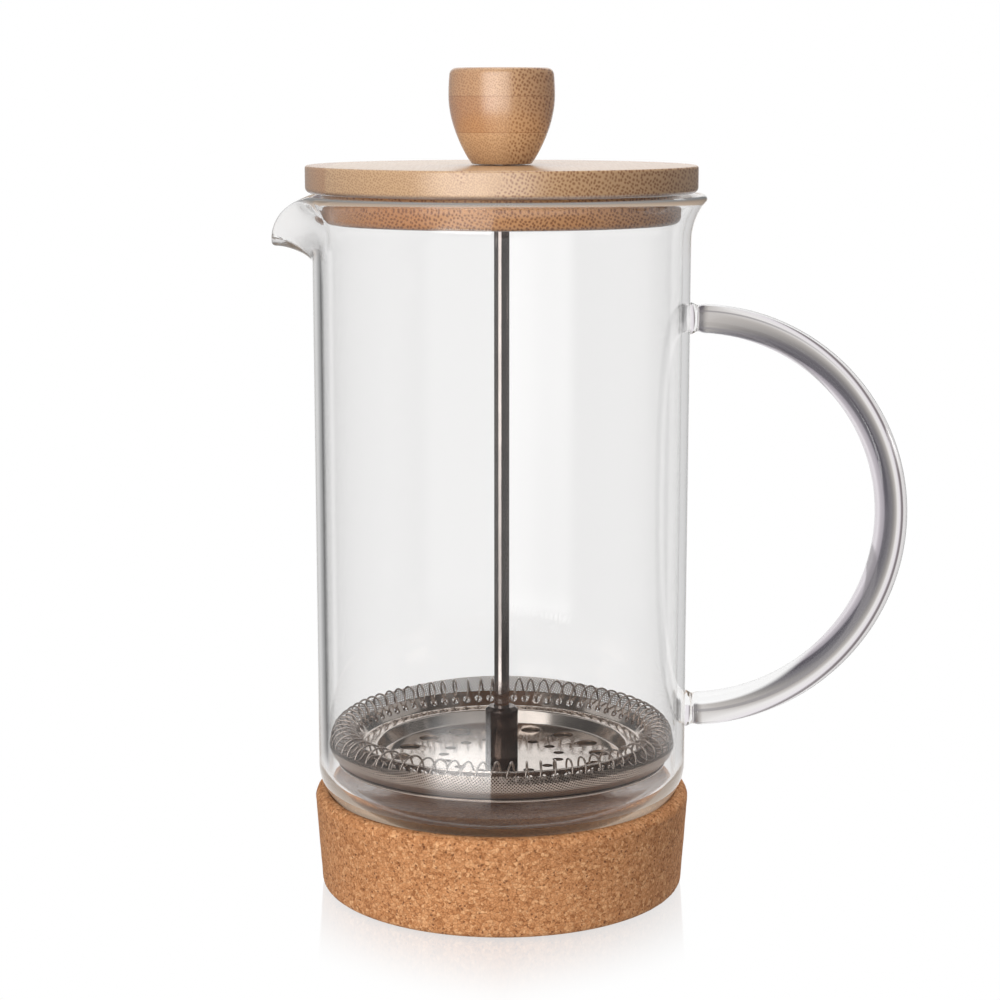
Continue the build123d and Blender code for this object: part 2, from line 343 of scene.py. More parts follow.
def bamboo(name, tints, coarse, seams=(), base=(0.62, 0.375, 0.19), dot=(0.22, 0.075, 0.02),
           coat_ior=2.4, shaded_below=None):
    """Laminated bamboo with its fibres along Y, so that bundles show as dots on the Y sides.

    tints are (x, factor) stops that darken and redden the strips, coarse gives the two x
    limits between which the bundles grow from fine to coarse, seams are the heights of
    level glue lines, and the wood is dark with contact shade under shaded_below."""
    s = Shader(name)
    x, y, z = s.axes(s.place_mm())
    layer = 0.0
    for seam in seams:
        layer = s.math("ADD", s.math("GREATER_THAN", z, seam), layer)
    drift = s.math("ADD", s.math("MULTIPLY", layer, 7.3), s.math("MULTIPLY", y, 0.03))
    fibre = s.node("ShaderNodeCombineXYZ", {
        "X": s.math("ADD", x, drift), "Y": s.math("ADD", s.math("MULTIPLY", z, 0.85), drift),
    }).outputs[0]
    bend = s.node("ShaderNodeTexNoise", {"Vector": fibre, "Scale": 0.22, "Detail": 1.0}).outputs["Color"]
    turned = {"Vector": fibre, "Angle": 0.45}
    rows = s.node("ShaderNodeVectorRotate", turned, rotation_type="Z_AXIS").outputs[0]
    warped = {0: bend, 1: (1.6, 1.6, 0.0), 2: rows}
    rows = s.node("ShaderNodeVectorMath", warped, operation="MULTIPLY_ADD").outputs[0]

    patches = s.noise(fibre, 0.11, 2.0)
    fine = s.cells(rows, 1 / 0.52, randomness=0.6, dimensions="2D").outputs["Distance"]
    large = s.cells(rows, 1 / 0.86, randomness=0.5, dimensions="2D").outputs["Distance"]
    wander = s.math("MULTIPLY", s.math("SUBTRACT", patches, 0.5), coarse[1] - coarse[0])
    growth = s.step(s.math("ADD", x, wander), *coarse)
    fine_dots = s.math("MULTIPLY", s.step(fine, 0.55, 0.1), s.step(growth, 0.8, 0.35, 0.0, 0.5))
    large_dots = s.math("MULTIPLY", s.step(large, 0.50, 0.14), s.step(growth, 0.15, 0.75, 0.0, 0.82))
    dots = s.math("MAXIMUM", fine_dots, large_dots)
    dots = s.math("MULTIPLY", dots, s.step(patches, 0.2, 0.55, 0.6, 1.0))
    _, normal_y, _ = s.axes(s.node("ShaderNodeNewGeometry").outputs["Normal"])
    dots = s.math("MULTIPLY", dots, s.step(s.math("ABSOLUTE", normal_y), 0.03, 0.16))

    low, high = tints[0][0], tints[-1][0]
    span = s.node("ShaderNodeMapRange", {"Value": x, "From Min": low, "From Max": high}).outputs[0]
    tint = s.ramp(span, [((at - low) / (high - low), (f, f, f)) for at, f in tints])
    odd_layer = s.math("MODULO", layer, 2.0)
    tint = s.math("ADD", tint, s.math("MULTIPLY", odd_layer, s.step(x, 3.0, -5.0, 0.0, 0.35)))
    # Painted bounce light: the wood under the first seam is painted lighter, as if lit from the lid
    # below.
    if seams:
        tint = s.math("SUBTRACT", tint, s.step(z, seams[0] + 0.1, seams[0] - 0.1, 0.0, 0.3))
    redder = (base[0] * 0.74, base[1] * 0.56, base[2] * 0.44)
    wood = s.mix(tint, base, redder)
    fibres = s.noise(s.place_mm((1.0, 0.02, 1.0)), 2.6, 3.0, 0.6)
    wood = s.mix(s.step(fibres, 0.3, 0.75, 0.0, 0.4), wood, [c * 0.7 for c in base])
    colour = s.mix(dots, wood, dot)
    for seam in seams:
        line = s.math("ABSOLUTE", s.math("SUBTRACT", z, seam))
        colour = s.mix(s.step(line, 0.16, 0.03, 0.0, 0.55), colour, dot)
    if shaded_below is not None:
        shade_there = s.step(z, shaded_below + 0.5, shaded_below - 0.5, 0.0, 0.8)
        colour = s.mix(shade_there, colour, (0.10, 0.035, 0.01))

    rough = s.step(fibres, 0.2, 0.8, 0.38, 0.5)
    height = s.math("SUBTRACT", s.math("MULTIPLY", fibres, 0.4), dots)
    normal = s.bump(height, 0.03, 0.6)
    return s.finish(s.principled(
        Base_Color=colour, Roughness=rough, Normal=normal, Specular_IOR_Level=0.5,
        Coat_Weight=1.0, Coat_Roughness=0.27, Coat_IOR=coat_ior,
    ))


def cork():
    """Pressed cork: pale and tan grains a millimetre or two across, with dark flecks."""
    s = Shader("cork")
    at = s.place_mm()
    wobble = s.node("ShaderNodeTexNoise", {"Vector": at, "Scale": 0.9, "Detail": 2.0}).outputs["Color"]
    at_wobbly = s.mix(0.5, at, wobble, "LINEAR_LIGHT")
    grains = s.cells(at_wobbly, 1.05)
    grain_tone = s.axes(grains.outputs["Color"])[0]
    small = s.cells(at_wobbly, 2.3)
    small_tone = s.axes(small.outputs["Color"])[0]
    tone = s.math("ADD", s.math("MULTIPLY", grain_tone, 0.55), s.math("MULTIPLY", small_tone, 0.45))
    colour = s.ramp(tone, [
        (0.10, (0.28, 0.105, 0.036)), (0.35, (0.50, 0.22, 0.088)),
        (0.65, (0.60, 0.285, 0.125)), (0.95, (0.76, 0.43, 0.215)),
    ])
    mottle = s.noise(at, 1.1, 5.0, 0.65)
    colour = s.mix(s.step(mottle, 0.42, 0.68, 0.0, 0.45), colour, (0.36, 0.15, 0.06))
    specks = s.cells(at_wobbly, 0.8)
    near_speck = s.step(specks.outputs["Distance"], 0.30, 0.16)
    chosen = s.step(s.axes(specks.outputs["Color"])[1], 0.45, 0.6, 0.0, 0.8)
    pits = s.math("MULTIPLY", near_speck, chosen)
    colour = s.mix(pits, colour, (0.13, 0.045, 0.02))
    seams = s.cells(at_wobbly, 1.05, "DISTANCE_TO_EDGE").outputs["Distance"]
    crack = s.step(seams, 0.05, 0.0)
    colour = s.mix(s.math("MULTIPLY", crack, 0.35), colour, (0.22, 0.085, 0.035))
    height = s.math("SUBTRACT", s.math("MULTIPLY", mottle, 0.6), s.math("ADD", pits, crack))
    normal = s.bump(height, 0.12, 0.8)
    rough = s.step(mottle, 0.3, 0.7, 0.78, 0.92)
    return s.finish(s.principled(Base_Color=colour, Roughness=rough, Normal=normal))


def glass():
    """Clear glass with the faint waviness of hand work. Light from lamps passes through it.

    A dark line is painted into its colour for camera rays where the wall's inside face turns
    away: painted shade. Where a ray has been mirrored a few times inside the glass, the glass
    glows instead: a painted glow, tinted warm near the wood and cork round it."""
    s = Shader("clear_glass")
    waves = s.noise(s.place_mm((1.0, 1.0, 0.35)), 0.035, 0.0)
    normal = s.bump(waves, 0.25, 0.15)
    facing = s.node("ShaderNodeLayerWeight", {"Blend": 0.5}).outputs["Facing"]
    x, _, z = s.axes(s.place_mm())
    # Painted shade: a dark line from the facing angle, painted into the colour that camera rays see. It
    # is on the wall only and strongest on the spout side.
    line = s.band(facing, 0.645, 0.70, 0.71, 0.73)
    painted_line_area = s.math("MULTIPLY", s.band(z, 40.0, 48.0, 164.0, 172.0), s.step(x, 50.3, 50.1))
    line = s.math("MULTIPLY", line, s.math("MULTIPLY", painted_line_area, s.step(x, -20.0, 20.0, 0.72, 0.15)))
    first = s.node("ShaderNodeLightPath").outputs["Is Camera Ray"]
    colour = s.mix(s.math("MULTIPLY", line, first), (0.985, 0.982, 0.98), (0.0, 0.0, 0.0))
    solid = s.principled(
        Base_Color=colour, Roughness=0.0, IOR=1.47, Transmission_Weight=1.0, Normal=normal,
    )
    # Painted glow: once a ray has been mirrored four times, the glass emits light instead, warm-toned
    # near the cork and the lid.
    painted_glow_after_bounces = s.math("SUBTRACT", 1.0, ray_is(s, "Glossy Depth", 4))
    painted_glow_warm_zone = s.either(s.step(z, 60.0, 45.0), s.step(z, 165.0, 178.0))
    painted_glow_warm_zone = s.math("MULTIPLY", painted_glow_warm_zone, s.step(x, -54.0, -46.0))
    tone = s.mix(painted_glow_warm_zone, (1.0, 0.98, 0.97), (0.78, 0.61, 0.47))
    fading = s.step(facing, 0.1, 0.8, 0.8, 0.25)
    glow = s.node("ShaderNodeEmission", {"Color": tone, "Strength": fading}).outputs[0]
    body = s.node("ShaderNodeMixShader", {0: painted_glow_after_bounces, 1: solid, 2: glow}).outputs[0]
    clear = s.node("ShaderNodeBsdfTransparent", {"Color": (0.93, 0.925, 0.92)}).outputs[0]
    shadow = s.node("ShaderNodeLightPath").outputs["Is Shadow Ray"]
    material = s.finish(s.node("ShaderNodeMixShader", {0: shadow, 1: body, 2: clear}).outputs[0])
    material.cycles.emission_sampling = "NONE"
    return material


def woven_steel(pitch=0.68, wire=0.24):
    """Woven wire: wires along U and V of the flat sheet, open between them."""
    s = Shader("woven_steel")
    uv = s.node("ShaderNodeUVMap").outputs["UV"]
    u, v, _ = s.axes(uv)
    waves = []
    for along in (u, v):
        turn = s.math("MULTIPLY", along, math.pi / (pitch * MM))
        waves.append(s.math("ABSOLUTE", s.math("SINE", turn)))
    edge = math.sin(math.pi * (0.5 - 0.5 * wire / pitch))
    holes = s.math("MULTIPLY", *[s.step(w, edge + 0.12, edge - 0.12) for w in waves])
    height = s.math("MAXIMUM", *waves)
    normal = s.bump(height, 0.12, 0.8)
    # Painted shade: the wires are painted darker towards their sides, where they dip to the gaps.
    tone = s.mix(height, (0.17, 0.125, 0.105), (0.64, 0.52, 0.44))
    metal = s.principled(Base_Color=tone, Metallic=1.0, Roughness=0.38, Normal=normal)
    gap = s.node("ShaderNodeBsdfTransparent").outputs[0]
    return s.finish(s.node("ShaderNodeMixShader", {0: holes, 1: metal, 2: gap}).outputs[0])


# ---------------------------------------------------------------- glass
SPOUT_TIP_X = -GLASS_LOW.x
RIM_TOP = GLASS_HIGH.z
RIM_R = GLASS_HIGH.x
FLARE_R, FLARE_ANGLE = 16.0, 40.0
SPOUT_COLUMNS = 22
BODY_COLUMNS = 170
WALL_TOP = 150.0            # above this the wall is drawn out into the rim and spout


def rim_curve(a):
    """Middle of the glass along the spout's edge: a is 0 at the tip and a quarter turn at the rim."""
    mid_x = SPOUT_TIP_X - WALL / 2
    start_x, tip_z, widening = 47.0, 175.1, 6.4
    x = start_x + (mid_x - start_x) * math.cos(a)
    z = tip_z + (RIM_TOP - WALL / 2 - tip_z) * math.sin(a)
    rim_y = math.sqrt((RIM_R - WALL / 2) ** 2 - start_x ** 2)
    share = a / (math.pi / 2)
    y = widening * a + (rim_y - widening * math.pi / 2) * share ** 5
    return np.array((x, y, z))


def flare_column(angle, rows):
    """Middle of the wall from WALL_TOP to the flared rim, at one angle."""
    mid_r = BEAKER_R - WALL / 2
    rise = (FLARE_R + WALL / 2) * math.sin(math.radians(FLARE_ANGLE))
    centre = (BEAKER_R + FLARE_R, RIM_TOP - WALL / 2 - rise)
    straight = [(mid_r, z) for z in np.linspace(WALL_TOP, centre[1], rows // 2, endpoint=False)]
    bend = arc(centre, FLARE_R + WALL / 2, 180, 180 - FLARE_ANGLE, rows - rows // 2)
    line = np.array(straight + bend)
    return np.column_stack((line[:, 0] * math.cos(angle), line[:, 0] * math.sin(angle), line[:, 1]))


def hermite(start, start_pull, end, end_pull, steps):
    """Smooth curve between two points that leaves and arrives along its pulls."""
    t = np.linspace(0, 1, steps)[:, None]
    return (
        (2 * t ** 3 - 3 * t ** 2 + 1) * start + (t ** 3 - 2 * t ** 2 + t) * start_pull
        + (3 * t ** 2 - 2 * t ** 3) * end + (t ** 3 - t ** 2) * end_pull
    )


def spout_column(a, body_angle, rows):
    """Middle of the wall from WALL_TOP out along the spout. X points to the spout here."""
    mid_r = BEAKER_R - WALL / 2
    rim = rim_curve(a)
    level = math.sin(a)
    foot_z = 169.5 + 4.0 * level
    foot = np.array((mid_r * math.cos(body_angle), mid_r * math.sin(body_angle), foot_z))
    outward = rim - foot
    outward[2] = 0.0
    reach = np.linalg.norm(outward)
    outward /= reach
    slope = 0.02 + 1.25 * level
    pull = reach * 1.35 + 4.0 * level
    end_pull = np.array((outward[0], outward[1], slope))
    end_pull *= pull / np.linalg.norm(end_pull)
    straight_rows = rows // 3
    heights = np.linspace(WALL_TOP, foot_z, straight_rows, endpoint=False)
    straight = [(foot[0], foot[1], z) for z in heights]
    up = np.array((0.0, 0.0, 7.0 + 6.0 * level))
    bend = hermite(foot, up, rim, end_pull, rows - straight_rows)
    return np.vstack((straight, bend))


def run_along(line):
    """Distance from the line's start to each of its points."""
    strides = np.linalg.norm(np.diff(line, axis=0), axis=1)
    return np.concatenate(([0], np.cumsum(strides)))


def resample(line, rows):
    """The same line with evenly spaced points."""
    length = run_along(line)
    places = np.linspace(0, length[-1], rows)
    return np.column_stack([np.interp(places, length, line[:, k]) for k in range(3)])


def beaker_columns(rows):
    """Body angle and middle line of each column of the upper wall, all round."""
    half_angle = math.atan2(rim_curve(math.pi / 2)[1], rim_curve(math.pi / 2)[0])
    columns = []
    for i in range(-SPOUT_COLUMNS, SPOUT_COLUMNS + 1):
        share = abs(i) / SPOUT_COLUMNS
        side = 1 if i >= 0 else -1
        a = share * math.pi / 2
        body_angle = half_angle * share
        line = resample(spout_column(a, body_angle, rows), rows)
        plain = resample(flare_column(body_angle, rows), rows)
        weight = max(0.0, (share - 0.72) / 0.28) ** 2
        weight = weight * (3 - 2 * weight) if weight < 1 else 1.0
        line = line * (1 - weight) + plain * weight
        line[:, 1] *= side
        columns.append((side * body_angle, line))
    rest = np.linspace(half_angle, 2 * math.pi - half_angle, BODY_COLUMNS + 2)[1:-1]
    for angle in rest:
        columns.append((angle, resample(flare_column(angle, rows), rows)))
    turned = []
    for angle, line in columns:
        turned.append((angle + math.pi, line * np.array((-1.0, -1.0, 1.0))))
    return turned


def beaker_mesh():
    """Closed beaker: floor, heel, wall, flared rim with a rolled edge, and the beak."""
    rows = 34
    columns = beaker_columns(rows)
    middle = np.array([line for _, line in columns])
    along = np.gradient(middle, axis=1)
    across = np.roll(middle, -1, 0) - np.roll(middle, 1, 0)
    normal = np.cross(across, along)
    normal /= np.linalg.norm(normal, axis=2, keepdims=True)
    along /= np.linalg.norm(along, axis=2, keepdims=True)
    half = WALL / 2

    low, heel_x = GLASS_LOW.z, BEAKER_R - HEEL_R
    heel_z = low + HEEL_R
    inner_r = HEEL_R - WALL
    inner_z = low + GLASS_FLOOR_T + inner_r
    outer_low = [(6, low), (20, low), (32, low)] + arc((heel_x, heel_z), HEEL_R, -90, 0, 14)
    outer_low += [(BEAKER_R, z) for z in np.linspace(heel_z, WALL_TOP, 9)[1:-1]]
    inner_low = [(BEAKER_R - WALL, z) for z in np.linspace(WALL_TOP, inner_z, 9)[1:-1]]
    inner_low += arc((heel_x, inner_z), inner_r, 0, -90, 12)
    inner_low += [(32, inner_z - inner_r), (20, inner_z - inner_r), (6, inner_z - inner_r)]

    verts = []
    for c, (angle, _) in enumerate(columns):
        radial = np.array((math.cos(angle), math.sin(angle), 0.0))
        column = [radial * r + np.array((0, 0, z)) for r, z in outer_low]
        column += list(middle[c] + normal[c] * half)
        for k in range(1, 8):
            turn = math.pi * k / 8
            offset = normal[c, -1] * math.cos(turn) + along[c, -1] * math.sin(turn)
            column.append(middle[c, -1] + offset * half)
        column += list((middle[c] - normal[c] * half)[::-1])
        column += [radial * r + np.array((0, 0, z)) for r, z in inner_low]
        verts.append(column)
    verts = np.array(verts)
    count, length = verts.shape[:2]
    faces = [f[::-1] for f in grid_faces(count, length, True, False)]
    points = list(verts.reshape(-1, 3))
    for row, height in ((0, low), (length - 1, inner_z - inner_r)):
        points.append(np.array((0.0, 0.0, height)))
        for c in range(count):
            a, b = c * length + row, ((c + 1) % count) * length + row
            pole = len(points) - 1
            faces.append((a, b, pole)[::-1] if row == 0 else (b, a, pole)[::-1])
    return new_object("glass_body", points, faces, 75.0)


def handle_mesh():
    """Solid glass rod bent in a half circle, with a bead where it is welded to the wall."""
    top, bottom = 154.8, 48.0
    centre = (51.5, (top + bottom) / 2)
    bend = (top - bottom) / 2
    steps = 360
    inside = math.degrees(math.asin((centre[0] - BEAKER_R + 0.9) / bend))
    points, normals, radii = [], [], []
    for i in range(steps + 1):
        share = i / steps
        a = math.radians(90 + inside - (180 + 2 * inside) * share)
        spoke = np.array((math.cos(a), 0.0, math.sin(a)))
        points.append(np.array((centre[0], 0.0, centre[1])) + spoke * bend)
        normals.append(spoke)
        thick = 3.85 + 0.45 * math.sin(math.pi * min(share * 1.25, 1.0) / 2) + 0.25 * share
        end = min(share, 1 - share) * math.pi * bend
        bead = 0.45 * math.exp(-((end - 0.9) / 1.0) ** 2)
        waist = 0.35 * math.exp(-((end - 3.0) / 0.9) ** 2)
        radii.append(thick + (bead - waist))
    return tube("glass_rod", points, normals, radii, sides=80)


def make_glass():
    body = boolean(beaker_mesh(), handle_mesh(), "UNION")
    shade(body, 75.0)
    place(body, "beaker", glass(), "glass", "glass_beaker", "glass_handle")


# ---------------------------------------------------------------- bamboo
def make_lid():
    top, bottom = DISC_HIGH.z, DISC_LOW.z
    bore = ROD_R + 0.3
    radius = DISC_HIGH.x
    disc = lathe("bamboo_disc", rounded([
        (bore, (top + bottom) / 2, 0), (bore, bottom, 0.3), (radius * 0.6, bottom, 0),
        (radius, bottom, 1.5), (radius, top, 0.7), (radius * 0.6, top, 0), (bore, top, 0.3),
        (bore, (top + bottom) / 2 + 0.1, 0),
    ]), closed=True)
    wood = bamboo(
        "bamboo_lid",
        [(-52, 0.75), (-44.6, 0.75), (-44.2, 0.05), (-15, 0.0), (10, 0.2), (52, 0.35)], (-42, 26),
        base=(0.59, 0.365, 0.185), shaded_below=bottom + 0.8,
    )
    place(disc, "lid", wood, "bamboo", "lid_disc")

    low, radius = PLUG_LOW.z, PLUG_HIGH.x
    plug = lathe("bamboo_plug", rounded([
        (bore, bottom - 1, 0), (bore, low, 0.3), (radius * 0.6, low, 0), (radius, low, 2.0),
        (radius, bottom, 0.2), (radius * 0.6, bottom, 0), (bore, bottom, 0.2), (bore, bottom - 0.9, 0),
    ]), closed=True)
    wood = bamboo(
        "bamboo_plug", [(-48, 0.55), (-28, 0.8), (-20, 0.75), (-12, 0.25), (20, 0.4), (48, 0.45)],
        (-52, -20), base=(0.54, 0.29, 0.13), dot=(0.13, 0.035, 0.009), coat_ior=1.6,
        shaded_below=low + 0.2,
    )
    place(plug, "lid", wood, "bamboo_plug", "lid_plug")


def make_knob():
    low, high, wide = KNOB_LOW.z, KNOB_HIGH.z, KNOB_HIGH.x
    foot, widest = 7.8, low + 17.8
    side = []
    for t in np.linspace(0, 1, 14):
        z = low + (widest - low) * t
        side.append((foot + (wide - foot) * math.sin(math.pi / 2 * t) ** 0.86, z, 0))
    side[0] = (foot, low, 0.3)
    for t in np.linspace(0, 1, 5)[1:]:
        side.append((wide - 0.45 * t ** 2, widest + (high - widest) * t, 0))
    side[-1] = (wide - 0.45, high, 1.9)
    body = lathe("bamboo_knob", rounded([(0, low, 0)] + side + [(0, high, 0)], 7), sharp_angle=50.0)
    wood = bamboo(
        "bamboo_knob", [(-14, 0.7), (-6, 0.5), (-1, 0.25), (4, 0.3), (14, 0.6)], (-3, 7),
        seams=(203.6, 212.9),
    )
    place(body, "plunger", wood, "bamboo_knob", "knob")
    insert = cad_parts["knob_insert"]
    insert.data.materials.clear()
    insert.data.materials.append(steel("insert_steel", (0.60, 0.57, 0.52), 0.3))


# ---------------------------------------------------------------- steel
def make_rod():
    low, high = ROD_LOW.z, ROD_HIGH.z
    line = [(0, low, 0), (ROD_R, low, 0.3)]
    line += [(ROD_R, z, 0) for z in np.linspace(low, high, 10)[1:-1]]
    line += [(ROD_R, high, 0.3), (0, high, 0)]
    rod = lathe("steel_rod", rounded(line, 3), segments=64)
    metal = steel("rod_steel", (0.72, 0.64, 0.60), 0.06, drawn=True)
    place(rod, "plunger", metal, "rod_steel", "plunger_rod")

    low, high, wide = COLLAR_LOW.z, COLLAR_HIGH.z, COLLAR_HIGH.x
    collar = lathe("steel_collar", rounded([
        (ROD_R, low + 1, 0), (ROD_R, low, 0), (wide, low, 0.25), (wide, high - 0.9, 0.35),
        (wide - 0.9, high, 0.35), (ROD_R + 0.1, high, 0.1), (ROD_R, low + 1.1, 0),
    ], 4), segments=96, closed=True)
    metal = steel("collar_steel", (0.15, 0.115, 0.10), 0.14)
    place(collar, "plunger", metal, "collar_steel", "rod_collar")

    low, high, wide = NUT_LOW.z, NUT_HIGH.z, NUT_HIGH.x
    nut = lathe("steel_nut", rounded([
        (ROD_R, low + 0.6, 0), (ROD_R + 0.4, low, 0.1), (wide - 0.7, low, 0.2), (wide, low + 0.6, 0.1),
        (wide, high, 0), (ROD_R, high, 0),
    ], 2), segments=6, closed=True)
    place(nut, "plunger", metal, "collar_steel", "cross_plate_nut")


FLOOR_Z = COLLAR_LOW.z              # upper face of the spring plate's floor
PLATE_T = FLOOR_Z - PLATE_LOW.z
FLOOR_R, LEDGE_R, LEDGE_Z = 33.0, 38.0, 38.7
FLANGE_R, FLANGE_Z = PLATE_HIGH.x, PLATE_HIGH.z
COIL_LOOPS = 72
COIL_WIRE_R = 0.28
COIL_Z = (COIL_LOW.z + COIL_HIGH.z) / 2
COIL_R = (COIL_HIGH.z - COIL_LOW.z) / 2 - 0.2
COIL_MID_R = COIL_HIGH.x - 0.08 - COIL_R


def make_spring_plate():
    thin = PLATE_T * 0.7
    upper = [
        (ROD_R, FLOOR_Z, 0), (18, FLOOR_Z, 0), (FLOOR_R, FLOOR_Z, 0.6), (FLOOR_R + 0.9, LEDGE_Z, 0.6),
        (LEDGE_R, LEDGE_Z, 1.0), (FLANGE_R - 0.3, FLANGE_Z - 0.3, 0),
    ]
    lower = [(r + (0.5 if FLOOR_R <= r <= LEDGE_R else 0.0), z - thin, k) for r, z, k in reversed(upper)]
    lip = [(FLANGE_R, FLANGE_Z, 0.1), (FLANGE_R + 0.25, FLANGE_Z - 0.4, 0.1)]
    upper[-1] = (FLANGE_R - 0.3, FLANGE_Z - 0.35, 0)
    start, end = (ROD_R, FLOOR_Z - thin / 2, 0), (ROD_R, FLOOR_Z - thin, 0)
    outline = rounded([start] + upper + lip + lower[1:] + [end], 3)
    plate = lathe("steel_spring_plate", outline, segments=288, closed=True)
    holes = [(at, (0, 0, 1), 2.0) for at, _ in around(16, 27.0, FLOOR_Z, math.radians(4.5))]
    plate = boolean(plate, pins("cut_outer", holes, 2.85, 40), "DIFFERENCE")
    holes = [(at, (0, 0, 1), 2.0) for at, _ in around(15, 15.9, FLOOR_Z, math.radians(9))]
    plate = boolean(plate, pins("cut_inner", holes, 1.5, 28), "DIFFERENCE")
    holes = []
    for at, a in around(COIL_LOOPS, COIL_MID_R - COIL_R + 0.1, COIL_Z - 1.4):
        holes.append((at, (-math.cos(a) * 0.77, -math.sin(a) * 0.77, 0.64), 1.2))
    plate = boolean(plate, pins("cut_lacing", holes, 1.1, 20), "DIFFERENCE")
    shade(plate, 30.0)
    metal = steel("plate_steel", (0.72, 0.645, 0.585), 0.07)
    place(plate, "plunger", metal, "plate_steel", "spring_plate")


def make_coil():
    """One continuous coil, laced through the flange's holes, with slightly uneven loops."""
    rng = np.random.default_rng(7)
    steps = 30
    lag = math.radians(202)
    count = COIL_LOOPS * steps
    uneven = rng.normal(0, 1, (COIL_LOOPS, 3))
    points, normals = [], []
    for i in range(count):
        turn = i / steps
        loop = int(turn)
        blend = turn - loop
        wobble = uneven[loop] * (1 - blend) + uneven[(loop + 1) % COIL_LOOPS] * blend
        phi = 2 * math.pi * turn
        radius = COIL_R * (1 + 0.012 * wobble[0])
        theta = (phi - lag) / COIL_LOOPS + math.radians(0.5) * wobble[1] * (1 + math.cos(phi)) / 2
        spoke = np.array((math.cos(theta), math.sin(theta), 0.0))
        inner = math.cos(phi) * spoke + np.array((0.0, 0.0, math.sin(phi)))
        points.append(COIL_MID_R * spoke + np.array((0.0, 0.0, COIL_Z)) + radius * inner)
        normals.append(inner)
    wire = tube("steel_coil", points, normals, [COIL_WIRE_R] * count, sides=8, closed=True)
    metal = steel("spring_steel", (0.62, 0.53, 0.47), 0.12)
    place(wire, "plunger", metal, "spring_steel", "seal_spring")


def mesh_line(top):
    """Middle line of the woven mesh, from the rod outwards and up the side of the coil."""
    flat = MESH_LOW.z + 0.15
    return rounded([
        (ROD_R + 0.3, flat, 0), (20, flat, 0), (34, flat, 3.0), (44.9, flat + 2.5, 1.6),
        (46.4, 38.4, 2.0), (47.15, 40.7, 1.0), (46.95, top, 0),
    ], 6)


def make_filter_mesh():
    """Woven sheet as a thin closed solid, with an uneven upper edge.

    UV is each point's place on the flat sheet, in metres, turned an eighth."""
    segments = 288
    thick = 0.05
    columns, reaches = [], []
    for j in range(segments):
        a = 2 * math.pi * j / segments
        top = 42.8 + 1.25 * math.sin(a) - 1.25 * math.cos(2 * a)
        line = np.array(mesh_line(top))
        tangent = np.gradient(line, axis=0)
        tangent /= np.linalg.norm(tangent, axis=1, keepdims=True)
        normal = np.column_stack((-tangent[:, 1], tangent[:, 0]))
        length = run_along(line) + line[0, 0]
        ring = np.vstack((line + normal * thick, (line - normal * thick)[::-1]))
        columns.append(np.column_stack((ring[:, 0] * math.cos(a), ring[:, 0] * math.sin(a), ring[:, 1])))
        reaches.append(np.concatenate((length, length[::-1])))
    verts = np.array(columns)
    rows = verts.shape[1]
    faces = [f[::-1] for f in grid_faces(segments, rows, True, True)]
    sheet = new_object("steel_filter_mesh", verts.reshape(-1, 3), faces)
    layer = sheet.data.uv_layers.new(name="flat_sheet")
    for loop in sheet.data.loops:
        column, row = divmod(loop.vertex_index, rows)
        a = 2 * math.pi * column / segments + math.pi / 4
        reach = reaches[column][row] * MM
        layer.data[loop.index].uv = (reach * math.cos(a), reach * math.sin(a))
    place(sheet, "plunger", woven_steel(), "mesh_steel", "filter_mesh")


def make_cross_plate():
    flat = CROSS_LOW.z
    radius, thick = CROSS_HIGH.x, 0.8
    plate = lathe("steel_cross_plate", rounded([
        (ROD_R, flat + 0.3, 0), (ROD_R, flat, 0), (34, flat, 2.0), (radius - 0.2, flat + 2.35, 0.3),
        (radius, flat + 3.2, 0.25), (34, flat + thick, 2.0), (ROD_R, flat + thick, 0),
        (ROD_R, flat + 0.4, 0),
    ], 4), closed=True)
    holes = [(at, (0, 0, 1), 3.0) for at, _ in around(8, 24.0, flat)]
    plate = boolean(plate, pins("cut_cross", holes, 7.0, 48), "DIFFERENCE")
    shade(plate, 30.0)
    metal = steel("cross_steel", (0.42, 0.34, 0.29), 0.10)
    place(plate, "plunger", metal, "plate_steel", "cross_plate")


# ---------------------------------------------------------------- cork
def make_cork():
    low, high = CORK_LOW.z, CORK_HIGH.z
    heel = (BEAKER_R - HEEL_R, GLASS_LOW.z + HEEL_R)
    recess_r = HEEL_R + 0.3
    floor = GLASS_LOW.z - 0.3
    edge = -math.degrees(math.asin((heel[1] - high) / recess_r))
    recess = arc(heel, recess_r, edge, -90, 16)
    foot_r, top_r = 49.2, 51.1
    outer = [(0, low, 0), (30, low, 0), (foot_r, low, 2.0)]
    for t in np.linspace(0, 1, 12)[1:-1]:
        outer.append((foot_r + (top_r - foot_r) * t, low + (high - low) * t, 0))
    outer += [(top_r, high, 2.6), (recess[0][0], high, 0)]
    profile = rounded(outer, 8) + recess[1:] + [(25, floor), (0, floor)]
    body = lathe("cork_cup", profile, segments=360, sharp_angle=60.0)
    rng = np.random.default_rng(11)
    mesh = body.data
    for vertex in mesh.vertices:
        if vertex.co.z > 0.0005 and vertex.co.to_2d().length > 0.0485:
            grain = rng.normal(0, 0.035) * MM
            vertex.co += Vector((vertex.co.x, vertex.co.y, 0)).normalized() * grain
    place(body, "base", cork(), "cork", "cork_base")


# ---------------------------------------------------------------- studio
SURROUND_R = 350.0
RAMP_SPAN = 60.0
